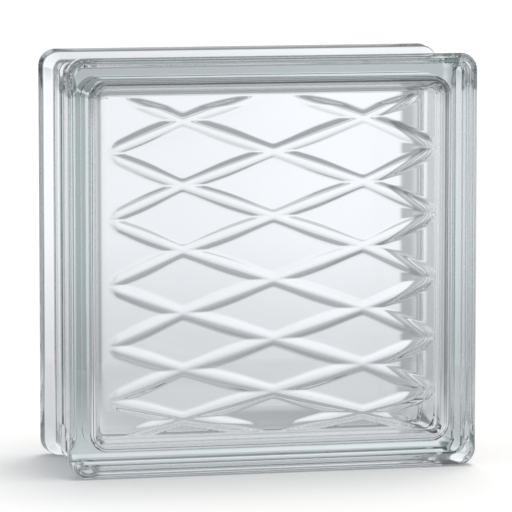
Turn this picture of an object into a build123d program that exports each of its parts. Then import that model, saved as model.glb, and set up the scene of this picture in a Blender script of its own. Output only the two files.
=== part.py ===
from build123d import *
from math import ceil, radians, tan
import os

# A hollow glass building block: two pressed glass trays, fused mouth to mouth halfway through its thickness.
# Millimetres, +Z up. The origin is the middle of the underside, on the level that the block stands on.
# Y runs through the thickness, and the patterned front face looks towards -Y.

# Overall size
face_size = 190.0
block_depth = 80.0
corner_radius = 8.0
face_edge_radius = 3.4

# Recess for mortar round all four sides, between the flanges of the two faces
flange_depth = 12.0
recess_depth = 5.4
recess_slope_run = 3.0
recess_draft = 1.3
recess_corner_radius = 4.0
recess_root_radius = 2.5
flange_edge_radius = 2.0

# Beads of fused glass round the seam, outside and in the cavity, half of each on either tray
bead_height = 1.6
bead_half_width = 2.6
inner_bead_height = 0.4
inner_bead_half_width = 1.8

# Thickness of the glass and form of the cavity
plate_thickness = 8.6
seam_wall = 5.5
wall_draft = 0.9
cavity_corner_radius = 8.0
cavity_edge_radius = 5.0

# Diamond lattice of round-bottomed grooves on the inner side of the front plate
groove_width = 7.4
groove_depth = 1.35
lattice_column = 42.0
lattice_middle_row = 14.4
lattice_row_growth = 0.19
lattice_row_taper = 0.027
groove_end_margin = 0.3

# Sizes that follow from those above
half_depth = block_depth / 2
recess_start = flange_depth + recess_slope_run
recess_size = face_size - 2 * recess_depth
recess_widening = (half_depth - recess_start) * tan(radians(recess_draft))
seam_size = recess_size + 2 * recess_widening
seam_corner_radius = recess_corner_radius + recess_widening
mouth_size = seam_size - 2 * seam_wall
cavity_depth = half_depth - plate_thickness
cavity_narrowing = cavity_depth * tan(radians(wall_draft))
floor_size = mouth_size - 2 * cavity_narrowing
floor_corner_radius = cavity_corner_radius - cavity_narrowing
panel_size = floor_size - 2 * cavity_edge_radius
groove_radius = groove_width**2 / (8 * groove_depth) + groove_depth / 2


def rounded_square(size, radius, height):
    """A rounded square at a height above the outer face of a tray, which lies at height 0."""
    return Plane.XY.offset(height) * RectangleRounded(size, size, radius)


def side_faces(body):
    """The faces round a body that stand upright."""
    return [face for face in body.faces() if abs(face.normal_at().Z) < 0.1]


def edges_at(body, height):
    """The edges of a body that lie at a height."""
    return body.edges().filter_by_position(Axis.Z, height - 0.01, height + 0.01)


def seam_ring(size, radius, bead, half_width, outward):
    """A round bar along the seam that bulges past a rounded square by the bead, outward (1) or inward (-1)."""
    bar_radius = (half_width**2 + bead**2) / (2 * bead)
    shift = outward * (bead - bar_radius)
    path = rounded_square(size + 2 * shift, radius + shift, half_depth).wire()
    return sweep(Plane(origin=path @ 0, z_dir=path % 0) * Circle(bar_radius), path=path)


def outer_body():
    """The solid outer form of a tray: flange, slope down to the mortar recess, web and its half of the bead."""
    flange = extrude(rounded_square(face_size, corner_radius, 0), flange_depth)
    slope = loft(
        [
            rounded_square(face_size, corner_radius, flange_depth),
            rounded_square(recess_size, recess_corner_radius, recess_start),
        ]
    )
    web = extrude(
        rounded_square(recess_size, recess_corner_radius, recess_start), half_depth - recess_start
    )
    web = draft(side_faces(web), Plane.XY.offset(recess_start), -recess_draft)
    body = flange + slope + web
    body = fillet(body.faces().sort_by(Axis.Z)[0].edges(), face_edge_radius)
    body = fillet(edges_at(body, flange_depth), flange_edge_radius)
    body = fillet(edges_at(body, recess_start), recess_root_radius)
    ring = seam_ring(seam_size, seam_corner_radius, bead_height, bead_half_width, outward=1)
    mating_plane = Plane.XY.offset(half_depth)
    return split(body + ring, bisect_by=mating_plane, keep=Keep.BOTTOM)


def cavity():
    """The space inside a tray: drafted walls, rounded where they meet the plate, pinched by the inner bead."""
    space = extrude(rounded_square(mouth_size, cavity_corner_radius, half_depth), -cavity_depth)
    space = draft(side_faces(space), Plane.XY.offset(half_depth), -wall_draft)
    space = fillet(space.faces().sort_by(Axis.Z)[0].edges(), cavity_edge_radius)
    return space - seam_ring(
        mouth_size, cavity_corner_radius, inner_bead_height, inner_bead_half_width, outward=-1
    )


def crossing_height(row):
    """Height above the middle of the face of the crossings in a row. Rows crowd towards top and bottom."""
    return lattice_middle_row * row + lattice_row_growth * row**2 - lattice_row_taper * row**3


def lattice_grooves():
    """Straight grooves both ways, each through its crossings on the two inner columns, cut off at the panel."""
    axis_height = plate_thickness - groove_depth + groove_radius
    panel = extrude(
        rounded_square(panel_size - 2 * groove_end_margin, cavity_edge_radius, plate_thickness / 2),
        plate_thickness,
    )
    row_pairs = ceil(panel_size / (4 * lattice_middle_row))
    grooves = []
    for pair in range(-row_pairs - 1, row_pairs):
        for side in (-1, 1):
            near = Vector(-side * lattice_column, crossing_height(2 * pair + 0.5), axis_height)
            far = Vector(side * lattice_column, crossing_height(2 * pair + 2.5), axis_height)
            run = far - near
            reach = run * (panel_size / run.length)
            section = Plane(origin=(near + far) / 2 - reach, z_dir=run) * Circle(groove_radius)
            grooves.append(extrude(section, 2 * reach.length))
    grooved_panel = panel - grooves
    return panel - grooved_panel


def tray(patterned):
    """One pressed tray, face down with its mouth up."""
    form = outer_body() - cavity()
    return form - lattice_grooves() if patterned else form


front_place = Plane(origin=(0, -half_depth, face_size / 2), x_dir=(-1, 0, 0), z_dir=(0, 1, 0))
rear_place = Plane(origin=(0, half_depth, face_size / 2), x_dir=(1, 0, 0), z_dir=(0, -1, 0))

pieces = {
    "front_half": front_place.location * tray(patterned=True),
    "rear_half": rear_place.location * tray(patterned=False),
}

os.makedirs("parts", exist_ok=True)
for name, piece in pieces.items():
    piece.label = name
    export_step(piece, f"parts/{name}.step")
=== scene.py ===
from math import cos, pi, radians, sin, tan

import bmesh
import bpy
import numpy as np
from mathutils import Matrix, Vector


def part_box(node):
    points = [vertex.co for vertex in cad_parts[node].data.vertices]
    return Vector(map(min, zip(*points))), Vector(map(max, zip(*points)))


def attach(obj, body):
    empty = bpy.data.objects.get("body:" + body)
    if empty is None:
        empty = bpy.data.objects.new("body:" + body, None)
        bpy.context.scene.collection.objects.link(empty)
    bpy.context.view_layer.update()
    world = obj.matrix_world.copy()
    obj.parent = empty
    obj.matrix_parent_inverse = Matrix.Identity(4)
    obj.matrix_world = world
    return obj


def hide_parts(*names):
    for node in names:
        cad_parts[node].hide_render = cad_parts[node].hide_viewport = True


# Sizes of the block, metres. Overall sizes are read from the frame.
MM = 0.001
CORNER_RADIUS = 8.0 * MM
FACE_EDGE_RADIUS = 3.4 * MM
FLANGE_DEPTH = 12.0 * MM
FLANGE_DRAFT = radians(4)
FLANGE_EDGE_RADIUS = 2.0 * MM
RECESS_DEPTH = 5.4 * MM
RECESS_SLOPE_RUN = 3.0 * MM
RECESS_DRAFT = radians(1.3)
RECESS_CORNER_RADIUS = 4.0 * MM
RECESS_ROOT_RADIUS = 2.5 * MM
BEAD_HEIGHT = 1.6 * MM
BEAD_HALF_WIDTH = 2.6 * MM
INNER_BEAD_HEIGHT = 0.4 * MM
INNER_BEAD_HALF_WIDTH = 1.8 * MM
PLATE_THICKNESS = 8.6 * MM
SEAM_WALL = 5.5 * MM
WALL_DRAFT = radians(0.9)
CAVITY_CORNER_RADIUS = 9.0 * MM
CAVITY_LEAST_CORNER_RADIUS = 0.5 * MM
CAVITY_FRONT_RADIUS = 7.0 * MM
CAVITY_REAR_RADIUS = 10.0 * MM

# Diamond lattice of grooves on the inner side of the front plate
GROOVE_WIDTH = 7.4 * MM
GROOVE_DEPTH = 1.35 * MM
GROOVE_FULLNESS = 1.75
GROOVE_LIP = 0.1 * MM
GROOVE_END = 4.5 * MM
CROSSING_NARROWING = 0.22
LATTICE_COLUMN = 42.0 * MM
LATTICE_END = 77.0 * MM
LATTICE_MIDDLE_ROW = 14.4 * MM
LATTICE_ROW_GROWTH = 0.19 * MM
LATTICE_ROW_TAPER = 0.027 * MM
ROW_PAIRS = 3

# How finely the glass is meshed
CORNER_STEPS = 12
FILLET_STEPS = 10
BEAD_STEPS = 8
PANEL_STEPS_X = 150
PANEL_STEPS_Z = 300
SUPPORT = 0.25 * MM

# How the glass bends and absorbs light, and the waves that pressing leaves in its surface
GLASS_IOR = 1.52
ABSORPTION_COLOUR = (0.66, 0.74, 0.735, 1)
ABSORPTION_DENSITY = 14.0
WAVES_PER_METRE = 45.0
WAVE_DETAIL = 1.0
WAVE_HEIGHT = 0.06 * MM

# The camera fitted to the photograph, looking at the middle of the block
CAMERA_AZIMUTH = radians(-13.19)
CAMERA_ELEVATION = radians(6.42)
CAMERA_DISTANCE = 1.905
CAMERA_LENS = 290.5
CAMERA_SENSOR = 36.0

# Light on the scene: an even room, and a soft overhead lamp made of suns side by side
AMBIENT_LEVEL = 0.5
AMBIENT_COLOUR = (0.93, 1.0, 1.05, 1)
SUN_STRENGTH = 1.75
SUN_COLOUR = (1.06, 1.0, 0.94)
SUN_ANGLE = radians(24)
SUN_TILT_RIGHT = radians(11)
SUN_TILTS_BACK = (radians(-10), radians(8), radians(23))

# The room that the glass sees. A curve is stops of (where, brightness): ROOM_UPWARD by how far
# a direction points up, ROOM_AROUND by degrees, with the front at 0, the left at 90, the back
# at 180 and the right at 270.
ROOM_LEVEL = 1.12
TINT_IN_GLASS = (0.955, 0.965, 1.0, 1)
ROOM_UPWARD = ((0.0, 1.0), (0.06, 1.0), (0.085, 0.4), (0.5, 0.4), (0.75, 0.3), (1.0, 0.28))
ROOM_AROUND = (
    (0, 0.62), (10, 0.62), (30, 0.65), (50, 0.85), (90, 0.85), (110, 0.40), (130, 0.40),
    (150, 0.48), (163, 0.65), (172, 0.88), (180, 0.95), (187, 0.965), (193, 1.0), (200, 1.04),
    (210, 1.0), (215, 0.5), (226, 0.5), (236, 0.72), (250, 0.8), (270, 0.6), (283, 0.3),
    (303, 0.3), (318, 0.6), (360, 0.62),
)

# The white card round the block, and its brightness by height
CARD_RADIUS = 0.35
CARD_HEIGHT = 0.18
CARD_SIDES = 96
CARD_UPWARD = (
    (0.0, 0.74), (0.01, 0.75), (0.036, 0.84), (0.066, 0.945), (0.096, 0.98), (0.126, 0.985),
    (0.146, 1.0), (0.156, 0.67), (0.18, 0.67),
)

# The floor. Its curves go by distance: FLOOR_SHADE, a painted shadow seen in the glass, from the
# middle of the painted shadow behind the block, and FLOOR_SHADED, how far the floor takes painted
# shade from the room round it, from the block.
FLOOR_SIZE = 24.0
FLOOR_LEVEL = 0.85
FLOOR_LEVEL_IN_GLASS = 0.3
FLOOR_GLOW = 0.2
FLOOR_GLOW_IN_GLASS = 0.68
FLOOR_REACH = 2.0
FLOOR_SHADE_PLACE = (0.05, 0.2, 0)
FLOOR_SHADE = ((0.0, 0.25), (0.12, 0.25), (0.2, 0.88), (0.4, 1.0), (2.0, 1.0))
FLOOR_SHADED = ((0.0, 0.0), (0.12, 0.0), (0.3, 1.0))
SHEEN_POWER = 2

# How often light may pass from one surface of the glass to the next
MAX_BOUNCES = 28
TRANSMISSION_BOUNCES = 24
GLOSSY_BOUNCES = 12


def rounded_square(half, radius, y, middle_z):
    """Points of a rounded square that stands at depth y, the same number whatever its size."""
    points = []
    for quarter in range(4):
        side_x = 1 if quarter in (0, 3) else -1
        side_z = 1 if quarter in (0, 1) else -1
        for step in range(CORNER_STEPS + 1):
            angle = (quarter + step / CORNER_STEPS) * pi / 2
            x = side_x * (half - radius) + radius * cos(angle)
            z = side_z * (half - radius) + radius * sin(angle)
            points.append(Vector((x, y, middle_z + z)))
    return points


def rounded_path(corners, radii):
    """A path through corners of (half size, depth), with an arc and points beside it at each."""
    path = [corners[0]]
    for before, corner, after, radius in zip(corners, corners[1:], corners[2:], radii):
        a, b, c = Vector(before), Vector(corner), Vector(after)
        to_a, to_c = (a - b).normalized(), (c - b).normalized()
        opening = to_a.angle(to_c)
        run = radius / tan(opening / 2)
        start, end = b + to_a * run, b + to_c * run
        centre = b + (to_a + to_c).normalized() * (radius / sin(opening / 2))
        first, last = start - centre, end - centre
        sweep = pi - opening
        path.append(tuple(start + to_a * SUPPORT))
        for step in range(FILLET_STEPS + 1):
            share = step / FILLET_STEPS
            arm = (first * sin((1 - share) * sweep) + last * sin(share * sweep)) / sin(sweep)
            path.append(tuple(centre + arm))
        path.append(tuple(end + to_c * SUPPORT))
    path.append(corners[-1])
    return path


def add_bead(path, seam_half, height, half_width):
    """Carries a path on to the seam at depth 0 over the front half of a rounded bead."""
    foot = path[-1][0]
    for step in range(1, BEAD_STEPS + 1):
        share = step / BEAD_STEPS
        swell = height * (1 - cos(pi * share)) / 2
        path.append((foot + (seam_half - foot) * share + swell, -half_width * (1 - share)))


def both_halves(front, rear):
    """A path from the front to the seam at depth 0, carried on by the mirror image of another."""
    return front + [(half, -depth) for half, depth in reversed(rear[:-1])]


def add_rings(bm, rings):
    """Adds rings of points with quads between them, and returns the rings of vertices."""
    made = [[bm.verts.new(point) for point in ring] for ring in rings]
    for ring, following in zip(made, made[1:]):
        for i in range(len(ring)):
            j = (i + 1) % len(ring)
            bm.faces.new((ring[i], ring[j], following[j], following[i]))
    return made


def recess_sizes(half, half_depth):
    """Half size of the mortar recess where it starts and at the seam."""
    recess = half - RECESS_DEPTH
    return recess, recess + (half_depth - FLANGE_DEPTH - RECESS_SLOPE_RUN) * tan(RECESS_DRAFT)


def outer_rings(half, half_depth):
    """The outer surface from the front face, round flange, recess and bead, to the rear face."""
    recess, seam = recess_sizes(half, half_depth)
    corners = [
        (half - 2 * FACE_EDGE_RADIUS, -half_depth),
        (half, -half_depth),
        (half - FLANGE_DEPTH * tan(FLANGE_DRAFT), -half_depth + FLANGE_DEPTH),
        (recess, -half_depth + FLANGE_DEPTH + RECESS_SLOPE_RUN),
        (seam - BEAD_HALF_WIDTH * tan(RECESS_DRAFT), -BEAD_HALF_WIDTH),
    ]
    path = rounded_path(corners, [FACE_EDGE_RADIUS, FLANGE_EDGE_RADIUS, RECESS_ROOT_RADIUS])
    add_bead(path, seam, BEAD_HEIGHT, BEAD_HALF_WIDTH)
    rings = []
    for size, depth in both_halves(path, path):
        if abs(depth) > half_depth - FLANGE_DEPTH / 2:
            radius = CORNER_RADIUS - (half - size)
        else:
            share = (size - recess) / RECESS_DEPTH
            radius = RECESS_CORNER_RADIUS + (CORNER_RADIUS - RECESS_CORNER_RADIUS) * share
        rings.append(rounded_square(size, radius, depth, half))
    return rings


def cavity_sizes(half, half_depth):
    """Half size of the cavity at the seam, at its floor and of the floor's flat panel."""
    mouth = recess_sizes(half, half_depth)[1] - SEAM_WALL
    floor = mouth - (half_depth - PLATE_THICKNESS) * tan(WALL_DRAFT)
    return mouth, floor, floor - CAVITY_FRONT_RADIUS


def cavity_rings(half, half_depth):
    """The cavity from the edge of the front panel, along the walls, to the rear panel."""
    mouth, floor, panel = cavity_sizes(half, half_depth)
    floor_depth = -half_depth + PLATE_THICKNESS
    foot = (mouth - INNER_BEAD_HALF_WIDTH * tan(WALL_DRAFT), -INNER_BEAD_HALF_WIDTH)
    halves = []
    for radius in (CAVITY_FRONT_RADIUS, CAVITY_REAR_RADIUS):
        corners = [(panel - 2 * SUPPORT - radius, floor_depth), (floor, floor_depth), foot]
        path = rounded_path(corners, [radius])[1:]
        add_bead(path, mouth, -INNER_BEAD_HEIGHT, INNER_BEAD_HALF_WIDTH)
        halves.append(path)
    rings = []
    for size, depth in both_halves(*halves):
        radius = max(CAVITY_CORNER_RADIUS - (mouth - size), CAVITY_LEAST_CORNER_RADIUS)
        rings.append(rounded_square(size, radius, depth, half))
    return rings


def crossing_height(row):
    """Height of a row of crossings above the middle of the face. Rows crowd to top and bottom."""
    return LATTICE_MIDDLE_ROW * row + LATTICE_ROW_GROWTH * row**2 - LATTICE_ROW_TAPER * row**3


def groove_relief(x, z, edge):
    """Depth of the grooves at each point of the panel; edge is the distance to its border."""
    relief = np.zeros_like(x)
    lift = GROOVE_DEPTH * np.clip(1 - edge / GROOVE_END, 0, 1)
    # Past the last inner column x runs faster, which draws the outermost crossings in.
    outside = np.maximum(abs(x) - LATTICE_COLUMN, 0)
    x = x + np.sign(x) * outside * (LATTICE_COLUMN / (LATTICE_END - LATTICE_COLUMN) - 1)
    narrowing = CROSSING_NARROWING * np.cos(pi * x / LATTICE_COLUMN) ** 2
    half_width = GROOVE_WIDTH / 2 * (1 - narrowing)
    depth = GROOVE_DEPTH * half_width / (GROOVE_WIDTH / 2)
    for pair in range(-ROW_PAIRS - 1, ROW_PAIRS):
        low, high = crossing_height(2 * pair + 0.5), crossing_height(2 * pair + 2.5)
        for side in (-1, 1):
            slope = side * (high - low) / (2 * LATTICE_COLUMN)
            off_line = (z - (low + high) / 2 - slope * x) / np.hypot(1, slope)
            groove = depth * (1 - abs(off_line / half_width) ** GROOVE_FULLNESS) - lift
            # The deeper of the two, with a soft lip where they meet
            relief = (relief + groove + np.hypot(relief - groove, GROOVE_LIP)) / 2
    fade = np.clip(edge / SUPPORT, 0, 1)
    return relief * fade * fade * (3 - 2 * fade)


def add_panel(bm, border, half, half_depth):
    """The front plate's inner side inside the border ring: a fine grid with the lattice in it."""
    floor_depth = -half_depth + PLATE_THICKNESS
    reach = cavity_sizes(half, half_depth)[2] - 2 * SUPPORT
    x, z = np.meshgrid(
        np.linspace(-reach, reach, PANEL_STEPS_X + 1), np.linspace(-reach, reach, PANEL_STEPS_Z + 1)
    )
    edge = reach - np.maximum(abs(x), abs(z))
    y = floor_depth - groove_relief(x, z, edge)
    grid = [
        [bm.verts.new((x[i, j], y[i, j], half + z[i, j])) for j in range(PANEL_STEPS_X + 1)]
        for i in range(PANEL_STEPS_Z + 1)
    ]
    for low, high in zip(grid, grid[1:]):
        for j in range(PANEL_STEPS_X):
            bm.faces.new((low[j], low[j + 1], high[j + 1], high[j]))
    right, left = [row[-1] for row in grid[1:-1]], [row[0] for row in grid[-2:0:-1]]
    rim = grid[0] + right + grid[-1][::-1] + left
    loops = []
    for loop in (rim, border):
        for a, b in zip(loop, loop[1:] + loop[:1]):
            loops.append(bm.edges.get((a, b)) or bm.edges.new((a, b)))
    bmesh.ops.triangle_fill(bm, edges=loops, use_beauty=True)


def make_glass(low, high):
    """The fused block as one body of glass: its outer surface, and the cavity's turned inwards."""
    half, half_depth = (high.x - low.x) / 2, (high.y - low.y) / 2
    outer = bmesh.new()
    rings = add_rings(outer, outer_rings(half, half_depth))
    outer.faces.new(rings[0])
    outer.faces.new(rings[-1])
    bmesh.ops.recalc_face_normals(outer, faces=outer.faces)
    inner = bmesh.new()
    rings = add_rings(inner, cavity_rings(half, half_depth))
    add_panel(inner, rings[0], half, half_depth)
    inner.faces.new(rings[-1])
    bmesh.ops.recalc_face_normals(inner, faces=inner.faces)
    bmesh.ops.reverse_faces(inner, faces=inner.faces)
    mesh = bpy.data.meshes.new("glass_block")
    inner.to_mesh(mesh)
    outer.from_mesh(mesh)
    outer.to_mesh(mesh)
    inner.free()
    outer.free()
    mesh.shade_smooth()
    block = bpy.data.objects.new("glass_block", mesh)
    bpy.context.scene.collection.objects.link(block)
    return block


def glass_material():
    """Pressed glass, faintly wavy, and faintly green where light runs far through it."""
    material = bpy.data.materials.new("pressed_glass")
    material.use_nodes = True
    tree = material.node_tree
    shader = tree.nodes["Principled BSDF"]
    shader.inputs["Base Color"].default_value = (1, 1, 1, 1)
    shader.inputs["Roughness"].default_value = 0.0
    shader.inputs["IOR"].default_value = GLASS_IOR
    shader.inputs["Transmission Weight"].default_value = 1.0
    coords = tree.nodes.new("ShaderNodeTexCoord")
    noise = tree.nodes.new("ShaderNodeTexNoise")
    noise.inputs["Scale"].default_value = WAVES_PER_METRE
    noise.inputs["Detail"].default_value = WAVE_DETAIL
    waves = tree.nodes.new("ShaderNodeBump")
    waves.inputs["Distance"].default_value = WAVE_HEIGHT
    tree.links.new(coords.outputs["Object"], noise.inputs["Vector"])
    tree.links.new(noise.outputs[0], waves.inputs["Height"])
    tree.links.new(waves.outputs["Normal"], shader.inputs["Normal"])
    volume = tree.nodes.new("ShaderNodeVolumeAbsorption")
    volume.inputs["Color"].default_value = ABSORPTION_COLOUR
    volume.inputs["Density"].default_value = ABSORPTION_DENSITY
    tree.links.new(volume.outputs["Volume"], tree.nodes["Material Output"].inputs["Volume"])
    return material


def feed(tree, socket, value):
    """Links a socket to another, or sets it to a number or colour."""
    if isinstance(value, bpy.types.NodeSocket):
        tree.links.new(value, socket)
    else:
        socket.default_value = value


def math_node(tree, operation, a, b, clamp=False):
    """A Math node between sockets or numbers; returns its output."""
    node = tree.nodes.new("ShaderNodeMath")
    node.operation = operation
    node.use_clamp = clamp
    feed(tree, node.inputs[0], a)
    feed(tree, node.inputs[1], b)
    return node.outputs[0]


def rest_node(tree, value):
    """What is left of 1 without a value."""
    return math_node(tree, "SUBTRACT", 1, value)


def mix_node(tree, factor, a, b, data_type="FLOAT"):
    """Runs from a where factor is 0 to b where it is 1; returns the output."""
    node = tree.nodes.new("ShaderNodeMix")
    node.data_type = data_type
    feed(tree, node.inputs["Factor"], factor)
    feed(tree, node.inputs["A"], a)
    feed(tree, node.inputs["B"], b)
    return node.outputs["Result"]


def ramp_node(tree, value, reach, stops):
    """A curve through stops of (value, brightness), where values run from 0 to reach."""
    ramp = tree.nodes.new("ShaderNodeValToRGB")
    for place, (position, level) in enumerate(stops):
        if place < 2:
            stop = ramp.color_ramp.elements[place]
            stop.position = position / reach
        else:
            stop = ramp.color_ramp.elements.new(position / reach)
        stop.color = (level, level, level, 1)
    tree.links.new(math_node(tree, "DIVIDE", value, reach), ramp.inputs[0])
    return ramp.outputs["Color"]


def distance_node(tree, vector, place):
    """How far each point is from a place."""
    node = tree.nodes.new("ShaderNodeVectorMath")
    node.operation = "DISTANCE"
    node.inputs[1].default_value = place
    tree.links.new(vector, node.inputs[0])
    return node.outputs["Value"]


def tint_node(tree, factor, plain=(1, 1, 1, 1)):
    """A plain colour, or the faint lavender of what glass sees where factor is 1."""
    return mix_node(tree, factor, plain, TINT_IN_GLASS, data_type="RGBA")


def seen_in_glass(tree):
    """1 for what is seen in a reflection or through glass, else 0."""
    path = tree.nodes.new("ShaderNodeLightPath").outputs
    return math_node(
        tree, "ADD", path["Is Glossy Ray"], path["Is Transmission Ray"], clamp=True
    )


def seen_by_camera(tree):
    """1 for what the camera sees straight, else 0."""
    return tree.nodes.new("ShaderNodeLightPath").outputs["Is Camera Ray"]


def split_vector(tree, vector):
    """The three parts of a vector."""
    split = tree.nodes.new("ShaderNodeSeparateXYZ")
    tree.links.new(vector, split.inputs[0])
    return split.outputs


def around_shade(tree, parts):
    """How bright the room is in a direction round the block, from the direction's parts."""
    turn = math_node(tree, "ARCTAN2", parts["X"], parts["Y"])
    degrees = math_node(tree, "ADD", math_node(tree, "MULTIPLY", turn, 180 / pi), 180)
    return ramp_node(tree, degrees, 360, ROOM_AROUND)


def bare_material(name):
    """A material with no shader yet, whose glow lights nothing by itself."""
    material = bpy.data.materials.new(name)
    material.use_nodes = True
    material.cycles.emission_sampling = "NONE"
    material.node_tree.nodes.remove(material.node_tree.nodes["Principled BSDF"])
    return material


def floor_shade(tree, glass):
    """How bright the floor is: 1, or less where painted shade darkens it as the glass sees it."""
    point = tree.nodes.new("ShaderNodeTexCoord").outputs["Object"]
    # Painted shadow: the floor seen in glass is darker in a pool behind the block.
    pool = ramp_node(
        tree, distance_node(tree, point, FLOOR_SHADE_PLACE), FLOOR_REACH, FLOOR_SHADE
    )
    # Seen at a low angle, the painted shadow behind the block is lighter.
    sheen = tree.nodes.new("ShaderNodeFresnel").outputs[0]
    steep = math_node(tree, "POWER", rest_node(tree, sheen), SHEEN_POWER)
    pool = rest_node(tree, math_node(tree, "MULTIPLY", rest_node(tree, pool), steep))
    # Painted shade: away from the block, the floor seen in glass darkens towards the room's dark
    # sides.
    shaded = ramp_node(tree, distance_node(tree, point, (0, 0, 0)), FLOOR_REACH, FLOOR_SHADED)
    around = rest_node(tree, around_shade(tree, split_vector(tree, point)))
    around = rest_node(tree, math_node(tree, "MULTIPLY", around, shaded))
    return mix_node(tree, glass, 1, math_node(tree, "MULTIPLY", around, pool))


def make_floor():
    """A plain pale floor that keeps the block's shadow, and has painted shade where glass sees it.
    """
    bpy.ops.mesh.primitive_plane_add(size=FLOOR_SIZE, location=(0, 0, 0))
    floor = bpy.context.object
    floor.name = "floor"
    material = bare_material("floor")
    tree = material.node_tree
    glass = seen_in_glass(tree)
    shade = floor_shade(tree, glass)
    paint = mix_node(tree, glass, FLOOR_LEVEL, FLOOR_LEVEL * FLOOR_LEVEL_IN_GLASS)
    diffuse = tree.nodes.new("ShaderNodeBsdfDiffuse")
    tree.links.new(math_node(tree, "MULTIPLY", paint, shade), diffuse.inputs["Color"])
    glow_level = math_node(
        tree,
        "ADD",
        math_node(tree, "MULTIPLY", seen_by_camera(tree), FLOOR_GLOW),
        math_node(tree, "MULTIPLY", glass, FLOOR_GLOW_IN_GLASS),
    )
    glow = tree.nodes.new("ShaderNodeEmission")
    tree.links.new(tint_node(tree, glass), glow.inputs["Color"])
    tree.links.new(math_node(tree, "MULTIPLY", glow_level, shade), glow.inputs["Strength"])
    both = tree.nodes.new("ShaderNodeAddShader")
    tree.links.new(diffuse.outputs[0], both.inputs[0])
    tree.links.new(glow.outputs[0], both.inputs[1])
    tree.links.new(both.outputs[0], tree.nodes["Material Output"].inputs["Surface"])
    floor.data.materials.append(material)


def make_card():
    """A low white card that stands round the block, seen only in its glass."""
    bpy.ops.mesh.primitive_cylinder_add(
        vertices=CARD_SIDES,
        radius=CARD_RADIUS,
        depth=2 * CARD_HEIGHT,
        end_fill_type="NOTHING",
        location=(0, 0, 0),
    )
    card = bpy.context.object
    card.name = "card"
    material = bare_material("card")
    tree = material.node_tree
    parts = split_vector(tree, tree.nodes.new("ShaderNodeTexCoord").outputs["Object"])
    upward = ramp_node(tree, parts["Z"], CARD_HEIGHT, CARD_UPWARD)
    level = math_node(tree, "MULTIPLY", upward, around_shade(tree, parts))
    glow = tree.nodes.new("ShaderNodeEmission")
    tree.links.new(math_node(tree, "MULTIPLY", level, ROOM_LEVEL), glow.inputs["Strength"])
    tree.links.new(tint_node(tree, seen_in_glass(tree)), glow.inputs["Color"])
    tree.links.new(glow.outputs[0], tree.nodes["Material Output"].inputs["Surface"])
    card.data.materials.append(material)
    card.visible_camera = False
    card.visible_diffuse = False
    card.visible_shadow = False
    card.visible_volume_scatter = False


def make_world():
    """A white background. Glass sees a room with a dark ceiling and dark panels at the sides."""
    world = bpy.data.worlds.new("room")
    bpy.context.scene.world = world
    world.use_nodes = True
    world.cycles.sampling_method = "NONE"
    tree = world.node_tree
    parts = split_vector(tree, tree.nodes.new("ShaderNodeTexCoord").outputs["Generated"])
    upward = ramp_node(tree, parts["Z"], 1, ROOM_UPWARD)
    room = math_node(tree, "MULTIPLY", upward, around_shade(tree, parts))
    room = math_node(tree, "MULTIPLY", room, ROOM_LEVEL)
    plain = mix_node(tree, seen_by_camera(tree), AMBIENT_LEVEL, 1)
    glass = seen_in_glass(tree)
    background = tree.nodes["Background"]
    tree.links.new(mix_node(tree, glass, plain, room), background.inputs["Strength"])
    tree.links.new(tint_node(tree, glass, AMBIENT_COLOUR), background.inputs["Color"])


def make_suns():
    """Soft even light from overhead, tilted to the right, unseen in the glass."""
    for place, tilt_back in enumerate(SUN_TILTS_BACK):
        lamp = bpy.data.lights.new(f"overhead_{place}", "SUN")
        lamp.angle = SUN_ANGLE
        lamp.energy = SUN_STRENGTH / len(SUN_TILTS_BACK)
        lamp.color = SUN_COLOUR
        sun = bpy.data.objects.new(f"overhead_{place}", lamp)
        towards = Vector((tan(SUN_TILT_RIGHT), tan(tilt_back), 1))
        sun.rotation_euler = towards.to_track_quat("Z", "Y").to_euler()
        sun.visible_glossy = False
        sun.visible_transmission = False
        bpy.context.scene.collection.objects.link(sun)


def make_camera(middle):
    """The photograph's viewing angle, framed close on the block."""
    back = Vector((
        sin(CAMERA_AZIMUTH) * cos(CAMERA_ELEVATION),
        -cos(CAMERA_AZIMUTH) * cos(CAMERA_ELEVATION),
        sin(CAMERA_ELEVATION),
    ))
    lens = bpy.data.cameras.new("camera")
    lens.lens = CAMERA_LENS
    lens.sensor_width = CAMERA_SENSOR
    camera = bpy.data.objects.new("camera", lens)
    camera.location = middle + back * CAMERA_DISTANCE
    camera.rotation_euler = (-back).to_track_quat("-Z", "Y").to_euler()
    bpy.context.scene.collection.objects.link(camera)
    bpy.context.scene.camera = camera


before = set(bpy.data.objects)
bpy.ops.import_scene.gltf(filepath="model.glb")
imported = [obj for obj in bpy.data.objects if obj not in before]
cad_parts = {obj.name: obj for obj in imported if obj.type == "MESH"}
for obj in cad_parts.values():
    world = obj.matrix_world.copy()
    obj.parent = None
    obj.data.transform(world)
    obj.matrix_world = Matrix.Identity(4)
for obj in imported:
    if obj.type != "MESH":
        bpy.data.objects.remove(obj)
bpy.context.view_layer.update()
low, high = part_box("front_half")
rear_low, rear_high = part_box("rear_half")
low = Vector(map(min, low, rear_low))
high = Vector(map(max, high, rear_high))

make_camera((low + high) / 2)
make_floor()
make_card()
make_world()
make_suns()

block = make_glass(low, high)
block.data.materials.append(glass_material())
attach(block, "root")
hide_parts("front_half", "rear_half")

scene = bpy.context.scene
scene.view_settings.view_transform = "Standard"
scene.cycles.max_bounces = MAX_BOUNCES
scene.cycles.transmission_bounces = TRANSMISSION_BOUNCES
scene.cycles.glossy_bounces = GLOSSY_BOUNCES
